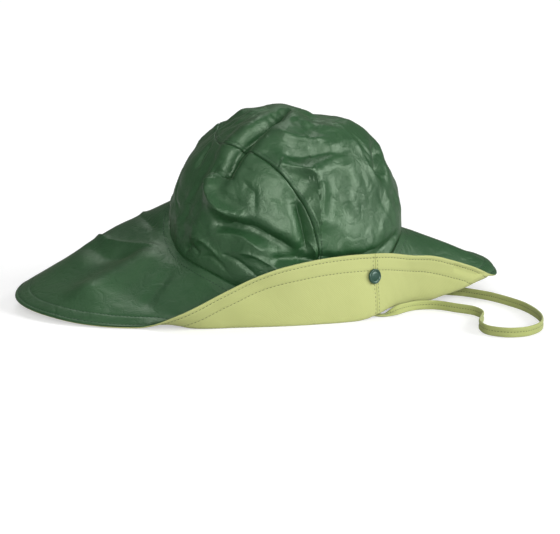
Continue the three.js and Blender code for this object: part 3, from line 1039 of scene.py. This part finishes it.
    def panel(self, low: Array, high: Array, ring: bool) -> tuple[Shell, Array]:
        """A panel's wall between two edges, each a row of (degrees, share up).

        Each column runs straight in degrees and share from its low edge to its high one, on the
        outer face, and back on the inner face. In a ring, the columns close and share one place at
        the top of each face, where four corners become three.

        Args:
            low: the lower edge.
            high: the upper edge.
            ring: whether the columns close in a ring and end in one place.

        Returns:
            The points and faces, and each point's place on the cloth.
        """
        outer, inner = self.outer_rows, self.inner_rows
        steps = np.concatenate([np.linspace(0, 1, outer), np.linspace(1, 0, inner)])
        depth = np.repeat([0.0, self.wall], [outer, inner])
        at, up = ((low[:, k, None] + (high - low)[:, k, None] * steps) for k in (0, 1))
        place = SHAPE.dome(at, up)
        height = self.lift(place.reshape(-1, 3), up.ravel()).reshape(up.shape)
        points = place + SHAPE.off_dome(at, up) * (height - depth)[..., None]
        cloth = np.stack([np.radians(at) * self.cloth_size[0], up * self.cloth_size[1]], -1)
        faces = loop_faces(*at.shape, ring=ring)
        if ring:
            quads = faces[0]
            row = quads % at.shape[1]
            quads = np.where((row == outer - 1) | (row == outer), row, quads)
            closed, opened = quads[:, 2] == quads[:, 3], quads[:, 0] == quads[:, 1]
            ends = quads[closed & ~opened][:, :3], quads[opened & ~closed][:, 1:]
            faces = [quads[~closed & ~opened], *ends]
        return (points.reshape(-1, 3), faces), cloth.reshape(-1, 2)

    def stitch_row(self, offset: float) -> Shell:
        """A row of stitches beside the arched seam.

        Args:
            offset: how many millimetres it lies in front of the seam.

        Returns:
            The stitches' points and faces.
        """
        start, stop = self.row_span
        at, up = self.arch(np.linspace(start * math.pi, stop * math.pi, self.row_samples)).T
        place = SHAPE.dome(at, up)
        normal = SHAPE.off_dome(at, up)
        place = place + unit(np.cross(normal, np.gradient(place, axis=0))) * offset
        return self.thread.along(place + normal * self.lift(place, up)[:, None], normal)

    def build(self) -> list[bpy.types.Object]:
        """Make both panels and their stitching.

        Returns:
            The pieces.
        """
        corner, middle = self.corner_phase, self.arch_middle
        phase = np.linspace(corner, math.pi - corner, self.arch_columns)
        turned = middle + self.arch_half_span * (2 * phase / math.pi - 1)
        low = np.stack([turned, np.zeros_like(turned)], -1)
        shell, cloth = self.panel(low, self.arch(phase, -1), ring=False)
        back = solid("crown_back_cloth", shell, COATED_NYLON, ["crown_back_panel"], cloth)
        half = middle - self.arch_half_span - self.arch_gap[0]
        hem = np.linspace(-half, half, self.hem_columns)[1:-1]
        arch = self.arch(np.linspace(0, math.pi, self.arch_columns), 1)
        front = np.concatenate([np.stack([hem, np.zeros_like(hem)], -1), arch])
        top = np.stack([front[:, 0], np.ones(len(front))], -1)
        shell, cloth = self.panel(front, top, ring=True)
        face = solid("crown_front_cloth", shell, COATED_NYLON, ["crown_front_panel"], cloth)
        rows = [self.stitch_row(offset) for offset in self.thread_rows]
        return [back, face, stitching("crown_stitches", rows, DARK_THREAD)]


# ---------------------------------------------------------------- brim
@dataclass(frozen=True)
class Brim:
    """A brim of two layers, each in a front and a back piece, with a stitched hem.

    Places on the brim are (degrees, stretch). A pinch or groove is (depth, width), with the depth
    as a share of the layer, and a bow is (middle in degrees, width in degrees, rise).
    """

    gap: float = 0.12
    layer: float = 1.0
    seam_at: float = 55.5
    seam_half_gap: float = 0.05
    rest_soft: float = 1.0
    tuck: float = 2.2
    seam_hold: float = 0.12
    edge_hold: tuple[float, float] = (0.6, 0.9)
    crown_row: float = 5.0
    hem_rows: tuple[float, float] = (3.5, 14.0)
    seam_rows: tuple[float, float] = (2.2, 5.0)
    edge_round: float = 1.2
    hem_pad: float = 0.12
    hem_ease: tuple[float, float] = (-1.0, 1.5)
    seam_pad: float = 0.2
    seam_ease: tuple[float, float] = (0.0, 1.6)
    hem_pinch: tuple[float, float] = (0.34, 0.9)
    seam_pinch: tuple[float, float] = (0.3, 0.8)
    seam_groove: tuple[float, float] = (0.7, 0.7)
    thinnest: float = 0.15
    tip_bows: tuple[tuple[float, float, float], ...] = (
        (337, 9, 3.4),
        (358, 6.5, -8.5),
        (14, 8, 4.2),
    )
    tip_reach: float = 24.0
    back_columns: int = 560
    front_columns: int = 240
    body_rows: int = 42
    hem_insets: tuple[float, ...] = (
        0, 0.15, 0.4, 0.8, 1.3, 2.0, 2.7, 3.1, 3.5, 3.9,
        4.4, 5.5, 7, 9, 11, 12.6, 13.4, 14, 14.6, 15.4,
    )
    inner_hem: tuple[int, ...] = (0, 4, 12)
    hem_samples: int = 1600
    crown_samples: int = 1200
    seam_samples: int = 120
    seam_ends: tuple[float, float] = (1.5, 2.0)
    creases: tuple[Crease, ...] = (
        sharp(3.3, 1.9, (161, 1.9), (166, 1.3), (172, 0.88), (180, 0.48), (191, 0.06)),
        soft(-3.2, 8.0, (166, 2.0), (172, 1.4), (179, 0.95), (186, 0.5), fade=0.25),
        soft(
            5.4, 14.5, (191, 0.08), (190, 0.43), (190, 0.93), (190, 1.48), (190, 2.05), (192, 2.6),
            fade=0.25
        ),
        sharp(-3.4, 4.2, (150, 0.95), (158, 0.6), (166, 0.35), (176, 0.12)),
        sharp(2.0, 4.0, (140, 1.2), (150, 0.9), (160, 0.5)),
        soft(-1.6, 6.0, (203, 0.2), (206, 0.9), (208, 1.8), fade=0.25),
        sharp(-2.0, 4.0, (120, 0.3), (124, 1.0), (128, 1.8)),
        soft(1.6, 6.0, (95, 0.4), (92, 1.2), (94, 2.1), fade=0.25),
        soft(-1.4, 6.0, (60, 0.4), (62, 1.3), (66, 2.2), fade=0.25),
        soft(-1.6, 6.0, (8, 0.2), (4, 0.9), (2, 1.6), fade=0.25),
        soft(2.4, 12.0, (354, 2.5), (6, 2.75), (20, 2.8), (38, 2.6), fade=0.25),
        soft(1.5, 5.0, (24, 0.4), (20, 1.2), (22, 2.0), fade=0.25),
        sharp(-1.5, 4.0, (333, 0.2), (336, 0.8), (342, 1.4)),
    )
    slack: Slack = (
        (Waves(60, seed=21), 0.5),
        (Crumple(46, seed=12), 0.45),
        (Crumple(18, seed=31), 0.06),
    )
    thread: Thread = Thread(pitch=3.2, length=2.2, width=0.62, height=0.3)

    def lift(self, places: Array, share: Array) -> Array:
        """How far the brim stands off its smooth middle: creases and slack, less so at the seam.

        Args:
            places: places on the brim's middle, in rows.
            share: each one's share of the way from the seam to the edge.

        Returns:
            One height for each place.
        """
        hold, start = self.edge_hold
        free = smooth(share, 0.0, self.seam_hold) * (1 - hold * smooth(share, start, 1.0))
        height = sum(crease.lift(SHAPE.brim, places) for crease in self.creases)
        return (height + slack_height(self.slack, places)) * free

    def bow(self, at: Array, inset: Array) -> Array:
        """How far the rim bows up, and hangs down at its front tip.

        Each bow raises the rim by rise * exp(-((t - middle) / width)^2) at t degrees, and less by
        exp(-(inset / reach)^2) further in.

        Args:
            at: degrees round the crown.
            inset: millimetres in from the edge.

        Returns:
            Millimetres up.
        """
        rises = (
            rise * bell(np.mod(at - middle + 180, 360) - 180, width)
            for middle, width, rise in self.tip_bows
        )
        return sum(rises) * bell(inset, self.tip_reach)

    def puff(self, inset: Array, aside: Array) -> Array:
        """The outer face's own relief: a rounded edge, a padded hem, and dips under the stitches.

        Args:
            inset: millimetres in from the edge.
            aside: millimetres from the nearest seam between the brim's front and back.

        Returns:
            The share of the layer's thickness at each place, 0 at the very edge.
        """
        edge = np.sqrt(np.clip(1 - (1 - np.minimum(inset / self.edge_round, 1)) ** 2, 0, 1))
        hem_start, hem_stop = (self.hem_rows[1] + ease for ease in self.hem_ease)
        fell_start, fell_stop = (self.seam_rows[1] + ease for ease in self.seam_ease)
        hem = self.hem_pad * (1 - smooth(inset, hem_start, hem_stop))
        fell = self.seam_pad * (1 - smooth(aside, fell_start, fell_stop))
        dips = [(inset - row, self.hem_pinch) for row in self.hem_rows]
        dips += [(aside - row, self.seam_pinch) for row in self.seam_rows]
        dips.append((aside, self.seam_groove))
        sunk = sum(depth * bell(far, width) for far, (depth, width) in dips)
        return edge * np.maximum(1 + hem + fell - sunk, self.thinnest)

    def face(self, at: Array, inset: Array, side: int, depth: Array | float) -> tuple[Array, Array]:
        """Places on one layer.

        The layer lies from `gap` off the brim's middle to `gap` plus its thickness, on the shell's
        side (1) or the lining's (-1). Where it would sink below what it rests on, it levels out
        along a short parabola.

        Args:
            at: degrees round the crown.
            inset: millimetres in from the edge.
            side: 1 for the shell, -1 for the lining.
            depth: 1 on the outer face and 0 on the face between the layers.

        Returns:
            The places, and the way out of the outer face.
        """
        stretch = SHAPE.stretch_at(at, inset)
        middle = SHAPE.brim(at, stretch)
        normal = -SHAPE.outward(SHAPE.brim, at, stretch)
        share = 1 - inset / sum(SHAPE.brim_reach(at))
        height = self.lift(middle.reshape(-1, 3), share.ravel()).reshape(share.shape)
        away = np.abs(np.mod(at + 180, 360) - 180)
        aside = np.abs(away - self.seam_at) * SHAPE.degree_length(at, stretch)
        off = side * (self.gap + self.layer * self.puff(inset, aside) * depth)
        point = middle + normal * (height + off)[..., None]
        point[..., 2] += self.bow(at, inset)
        below, part = (self.gap * 2 + self.layer, depth) if side > 0 else (0.0, 1 - depth)
        rest = below + part * self.layer
        over = (point[..., 2] - rest) / self.rest_soft
        level = rest + self.rest_soft * np.maximum(over + 1, 0) ** 2 / 4
        point[..., 2] = np.where(over < 1, level, point[..., 2])
        return point, normal * side

    def sheet(self, start: float, stop: float, columns: int, side: int) -> tuple[Shell, Array]:
        """One layer's piece between two seams, as a closed wall.

        Rows run from the seam with the crown to the edge on the outer face, closer together at the
        hem, and back on the face between the layers.

        Args:
            start: degrees where the piece starts.
            stop: degrees where it stops.
            columns: how many sections it has.
            side: 1 for the shell, -1 for the lining.

        Returns:
            The points and faces, and each point's place on the cloth.
        """
        at = np.linspace(start, stop, columns)[:, None]
        near = np.array(self.hem_insets, float)
        total = sum(SHAPE.brim_reach(at[:, 0]))[:, None] + (self.tuck if side > 0 else 0.0)
        hem = np.broadcast_to(near, (columns, len(near)))
        body = near[-1] + (total - near[-1]) * np.linspace(0, 1, self.body_rows)[1:]
        outer = np.concatenate([hem, body], 1)[:, ::-1]
        inner = np.concatenate([hem[:, list(self.inner_hem)], body[:, ::2], total], 1)
        inset = np.concatenate([outer, inner], 1)
        depth = np.repeat([1.0, 0.0], [outer.shape[1], inner.shape[1]])
        depth = np.broadcast_to(depth, inset.shape)
        points, _ = self.face(np.broadcast_to(at, inset.shape), inset, side, depth)
        far = run_length(points[:, outer.shape[1] - 1])[:, None]
        cloth = np.stack([np.broadcast_to(far, inset.shape), inset], -1) * METRES
        shell = points.reshape(-1, 3), loop_faces(*inset.shape, ring=False)
        return shell, cloth.reshape(-1, 2)

    def stitches(self, side: int) -> list[Shell]:
        """Every row of stitches on one side: round the hem and the crown, and beside both seams.

        Args:
            side: 1 for the shell, -1 for the lining.

        Returns:
            Each row's points and faces.
        """
        whole = -self.seam_at, 360 - self.seam_at
        at = np.linspace(*whole, self.hem_samples)
        places = [(at, np.full(at.shape, inset)) for inset in self.hem_rows]
        at = np.linspace(*whole, self.crown_samples)
        places.append((at, sum(SHAPE.brim_reach(at)) - self.crown_row))
        for seam in (self.seam_at, -self.seam_at):
            total = sum(SHAPE.brim_reach(np.array([seam])))[0]
            inset = np.linspace(self.seam_ends[0], total - self.seam_ends[1], self.seam_samples)
            stretch = SHAPE.stretch_at(np.full(inset.shape, seam), inset)
            degree = SHAPE.degree_length(seam, stretch)
            places += [(seam + way * self.seam_rows[0] / degree, inset) for way in (-1, 1)]
        return [self.thread.along(*self.face(*place, side, 1.0)) for place in places]

    def build(self) -> list[bpy.types.Object]:
        """Make the four pieces of the brim and the stitching on both sides.

        Returns:
            The pieces.
        """
        near, far = self.seam_at - self.seam_half_gap, self.seam_at + self.seam_half_gap
        spans = {
            "front": (-near, near, self.front_columns),
            "back": (far, 360 - far, self.back_columns),
        }
        pieces = []
        for side, layer, finish in ((1, "shell", COATED_NYLON), (-1, "lining", COTTON_LINING)):
            for part, span in spans.items():
                shell, cloth = self.sheet(*span, side)
                name = f"brim_{layer}_{part}"
                pieces.append(solid(f"{name}_cloth", shell, finish, [name], cloth))
        for side, layer, finish in ((1, "shell", DARK_THREAD), (-1, "lining", OLIVE_THREAD)):
            pieces.append(stitching(f"brim_{layer}_stitches", self.stitches(side), finish))
        return pieces


# ---------------------------------------------------------------- press stud
@dataclass(frozen=True)
class PressStud:
    """The cap that shows on the turned-up lining, and the half that it is pressed on behind."""

    at: float = 303.1
    stretch: float = 2.58
    off: float = 1.35
    sides: int = 48
    steps: int = 5
    axis_clear: float = 0.02
    cap_profile: tuple[tuple[float, float], ...] = (
        (0.0, 1.5), (2.6, 1.4), (4.0, 1.2), (4.7, 1.35), (5.3, 1.85), (5.9, 1.75),
        (6.3, 1.2), (6.4, 0.5), (6.2, 0.0), (5.2, -0.25), (0.0, -0.25),
    )
    socket_profile: tuple[tuple[float, float], ...] = (
        (0.0, 4.3), (2.2, 4.3), (2.5, 3.4), (3.3, 3.3), (3.9, 2.6),
        (4.4, 1.4), (4.5, 0.5), (4.3, 0.0), (0.0, 0.0),
    )

    def turned(
        self, profile: Sequence[tuple[float, float]], centre: Array, facing: Array
    ) -> Shell:
        """A profile of (radius, height) turned round an axis, a little clear of the axis itself.

        Args:
            profile: the section from the axis on top, round to the axis below.
            centre: where the axis meets the cloth.
            facing: the way the axis points.

        Returns:
            The points and faces.
        """
        given = np.array(profile, float)
        knots = np.arange(len(given), dtype=float)
        finer = np.linspace(0, knots[-1], self.steps * (len(given) - 1) + 1)
        section = hermite(knots, given, finer)
        section[:, 0] = np.maximum(section[:, 0], self.axis_clear)
        side = unit(np.cross(facing, UP))
        over = np.cross(facing, side)
        turn = np.linspace(0, 2 * math.pi, self.sides, endpoint=False)[:, None, None]
        around = np.cos(turn) * side + np.sin(turn) * over
        points = centre + around * section[None, :, :1] + facing * section[None, :, 1:]
        return points.reshape(-1, 3), loop_faces(self.sides, len(section), ring=True)

    def build(self) -> list[bpy.types.Object]:
        """Make the cap and the half behind it.

        Returns:
            The pieces.
        """
        at, stretch = np.array([self.at]), np.array([self.stretch])
        middle = SHAPE.brim(at, stretch)[0]
        facing = SHAPE.outward(SHAPE.brim, at, stretch)[0]
        pieces = []
        halves = ("cap", self.cap_profile, 1), ("socket", self.socket_profile, -1)
        for half, profile, way in halves:
            shell = self.turned(profile, middle + facing * (way * self.off), facing * way)
            pieces.append(solid(f"snap_{half}_enamel", shell, ENAMEL, [f"snap_{half}"]))
        return pieces


# ---------------------------------------------------------------- chin strap
@dataclass(frozen=True)
class ChinStrap:
    """A folded tape with both ends inside the crown, laid loose on its edge on the table.

    A row of the route is a place, and the way that the tape's width points there. Between its two
    ends the tape lies on the table, where only the place changes.
    """

    width: float = 8.0
    thickness: float = 1.9
    comes_down: tuple[tuple[float, ...], ...] = (
        (49, -63, 20, 0.88, 0.47, 0),
        (51, -63.5, 12, 0.88, 0.47, 0),
        (55, -65.5, 5, 0.75, 0.65, 0),
        (62, -69, 1.5, 0.45, 0.9, 0),
        (71, -72, 1.2, 0.15, 1, 0),
        (80, -70, 3.5, -0.15, 0.75, 0.6),
        (89, -64, 4.3, 0, 0.25, 1),
    )
    lies: tuple[tuple[float, float], ...] = (
        (103, -56), (118, -57), (132, -70), (144, -83), (147, -98), (141, -115),
        (135, -132), (137, -149), (150, -159), (167, -157), (183, -142),
        (191, -117), (192, -88), (186, -62), (175, -37), (157, -15), (133, -2),
        (107, 12), (84, 30),
    )
    lying: tuple[float, ...] = (4.15, 0, 0, 1)
    goes_up: tuple[tuple[float, ...], ...] = (
        (67, 46, 6, -0.5, 0.2, 0.7),
        (58, 57, 15, -0.8, 0.5, 0.4),
        (54, 62, 31, -0.8, 0.5, 0),
        (52.5, 64.5, 52, -0.8, 0.5, 0),
        (52, 65, 72, -0.8, 0.5, 0),
    )
    steps: int = 560
    section_points: int = 44
    section_inset: float = 0.05
    squareness: tuple[float, float] = (0.5, 0.7)
    fold_at: float = 0.1
    pinch: tuple[float, float] = (0.8, 0.8)
    stitch_off: float = 0.3
    stitch_trim: int = 4
    ripple: tuple[Waves, float] = (Waves(30, seed=4), 0.2)
    table_clear: float = 0.02
    cloth_length: float = 0.573
    thread: Thread = Thread(pitch=2.6, length=2.4, width=0.85, height=0.32)

    def laid(self) -> tuple[Array, Array, Array]:
        """The strap's middle line, and the ways its width and its thickness point along it.

        Returns:
            One place and two unit vectors for each step.
        """
        table = [(*place, *self.lying) for place in self.lies]
        rows = np.array([*self.comes_down, *table, *self.goes_up], float)
        far = run_length(rows[:, :3])
        along = hermite(far, rows, np.linspace(0, far[-1], self.steps))
        middle, wide = along[:, :3], along[:, 3:]
        way = unit(np.gradient(middle, axis=0))
        wide = unit(wide - (wide * way).sum(1, keepdims=True) * way)
        return middle, wide, np.cross(way, wide)

    def section(self) -> Array:
        """The tape's section: a rounded slab, pinched at its fold.

        With c and s the cosine and sine of the turn, it is half |c|^p across and thick |s|^q
        through, each with the sign of its own c or s.

        Returns:
            Rows of (across, through).
        """
        turn = np.linspace(0, 2 * math.pi, self.section_points, endpoint=False)
        half, thick = self.width / 2 - self.section_inset, self.thickness / 2
        across = half * signed_power(np.cos(turn), self.squareness[0])
        pinch = self.pinch[0] * bell(across - half * self.fold_at, self.pinch[1])
        through = thick * signed_power(np.sin(turn), self.squareness[1]) * (1 - pinch)
        return np.stack([across, through], -1)

    def build(self) -> list[bpy.types.Object]:
        """Returns:
            The pieces.
        """
        middle, wide, thick = self.laid()
        section = self.section()
        waves, size = self.ripple
        ripple = waves(middle)[:, None] * size
        across = wide[:, None] * section[None, :, :1]
        through = thick[:, None] * (section[None, :, 1:] + ripple[:, None])
        points = middle[:, None] + across + through
        points[..., 2] = np.maximum(points[..., 2], self.table_clear)
        far = np.linspace(0, self.cloth_length, self.steps)[:, None]
        cloth = np.stack(np.broadcast_arrays(far, section[:, 0] * METRES), -1).reshape(-1, 2)
        shell = points.reshape(-1, 3), loop_faces(*points.shape[:2], ring=False)
        strap = solid("chin_strap_tape", shell, WEBBING, ["chin_strap"], cloth)
        fold = wide * (self.width / 2 * self.fold_at)
        trim = slice(self.stitch_trim, -self.stitch_trim)
        rows = []
        for side in (-1, 1):
            line = middle + fold + thick * (side * self.thickness / 2 * self.stitch_off + ripple)
            rows.append(self.thread.along(line[trim], thick[trim] * side))
        stitches = stitching("chin_strap_stitches", rows, OLIVE_THREAD)
        return [strap, stitches]


# ---------------------------------------------------------------- studio
@dataclass(frozen=True)
class Studio:
    """The camera, the floor, the soft lights and the room's own light.

    Each sun has a name, an azimuth from straight out of the hat's right side towards its front, a
    height over the table and the breadth that it fills in the sky, all in degrees, and a power.
    The room is `room[0]` bright at its walls and `room[1]` at its ceiling, and white to look at.
    """

    elevation: float = 12.0
    turn: float = 10.0
    distance: float = 1400.0
    aim_right: float = -5.22
    aim_up: float = 28.71
    lens: float = 103.45
    clip: tuple[float, float] = (0.05, 100.0)
    suns: tuple[tuple[str, float, float, float, float], ...] = (
        ("right", 62.0, 24.0, 38.0, 2.5),
        ("near", -4.0, 20.0, 30.0, 2.0),
        ("left", -60.0, 50.0, 50.0, 0.4),
        ("above", 170.0, 62.0, 30.0, 0.7),
    )
    sun_distance: float = 2.0
    room: tuple[float, float] = (0.16, 0.12)
    room_top: float = 0.9
    floor_half: float = 20.0
    floor_below: float = 0.0003
    floor_shade: float = 0.6
    floor_glow: float = 0.5

    def camera(self) -> None:
        """Place the camera `distance` from its aim, turned and raised by the two angles."""
        rise, turn = math.radians(self.elevation), math.radians(self.turn)
        right = np.array([math.cos(turn), -math.sin(turn), 0.0])
        level = np.array([math.sin(turn), math.cos(turn), 0.0])
        ahead = level * math.cos(rise) - UP * math.sin(rise)
        above = level * math.sin(rise) + UP * math.cos(rise)
        place = right * self.aim_right + above * self.aim_up - ahead * self.distance
        data = bpy.data.cameras.new("camera")
        data.lens = self.lens
        data.clip_start, data.clip_end = self.clip
        camera = bpy.data.objects.new("camera", data)
        axes = Matrix((right, above, -ahead)).transposed().to_4x4()
        camera.matrix_world = Matrix.Translation(Vector(in_row_frame(place))) @ axes
        bpy.context.collection.objects.link(camera)
        bpy.context.scene.camera = camera

    def floor(self) -> None:
        """A wide pale floor just under the hat, brighter to look at than the light it throws up."""
        mesh = bpy.data.meshes.new("floor")
        size, signs = self.floor_half, ((-1, -1), (1, -1), (1, 1), (-1, 1))
        corners = [(x * size, y * size, -self.floor_below) for x, y in signs]
        mesh.from_pydata(corners, [], [(0, 1, 2, 3)])
        material = bpy.data.materials.new("pale_floor")
        material.use_nodes = True
        wire = Wiring(material.node_tree)
        shader = wire.end("ShaderNodeBsdfPrincipled")
        values = {
            "Base Color": (self.floor_shade,) * 3 + (1.0,),
            "Roughness": 0.95,
            "Specular IOR Level": 0.1,
            "Emission Color": (1.0, 1.0, 1.0, 1.0),
        }
        wire.fill(shader, values)
        seen = wire.add("ShaderNodeLightPath").outputs["Is Camera Ray"]
        wire.join(wire.math("MULTIPLY", seen, self.floor_glow), shader.inputs["Emission Strength"])
        mesh.materials.append(material)
        floor = bpy.data.objects.new("floor", mesh)
        bpy.context.collection.objects.link(floor)

    def light(self) -> None:
        """Add the suns, each one turned to shine from its place in the sky."""
        for name, azimuth, height, breadth, power in self.suns:
            data = bpy.data.lights.new(name, "SUN")
            data.angle, data.energy = math.radians(breadth), power
            lamp = bpy.data.objects.new(name, data)
            a, e = math.radians(azimuth), math.radians(height)
            source = Vector((math.sin(a) * math.cos(e), -math.cos(a) * math.cos(e), math.sin(e)))
            lamp.rotation_euler = source.to_track_quat("Z", "Y").to_euler()
            lamp.location = source * self.sun_distance
            bpy.context.collection.objects.link(lamp)

    def walls(self) -> None:
        """Make the room: its light changes evenly from the walls to the ceiling."""
        world = bpy.data.worlds.new("room")
        world.use_nodes = True
        bpy.context.scene.world = world
        wire = Wiring(world.node_tree)
        way = wire.add("ShaderNodeTexCoord").outputs["Generated"]
        height = wire.add("ShaderNodeSeparateXYZ", links={0: way}).outputs[2]
        wall, ceiling = self.room
        span = {"From Min": 0.0, "From Max": self.room_top, "To Min": wall, "To Max": ceiling}
        glow = wire.add("ShaderNodeMapRange", span, {"Value": height}).outputs[0]
        back = wire.end("ShaderNodeBackground")
        back.inputs["Color"].default_value = (1.0, 1.0, 1.0, 1.0)
        seen = wire.add("ShaderNodeLightPath").outputs["Is Camera Ray"]
        wire.join(wire.math("MAXIMUM", glow, seen), back.inputs["Strength"])
        bpy.context.scene.view_settings.view_transform = "Standard"


def main() -> None:
    """Build the studio and the hat, and keep the boxes that sizes are read from."""
    logging.basicConfig(level=logging.INFO, format="%(name)s: %(message)s")
    studio = Studio()
    studio.camera()
    for part in (ChinStrap(), Crown(), Brim(), PressStud()):
        made = part.build()
        log.info("%s: %s", type(part).__name__, ", ".join(piece.name for piece in made))
    studio.floor()
    studio.light()
    studio.walls()


if __name__ == "__main__":
    main()
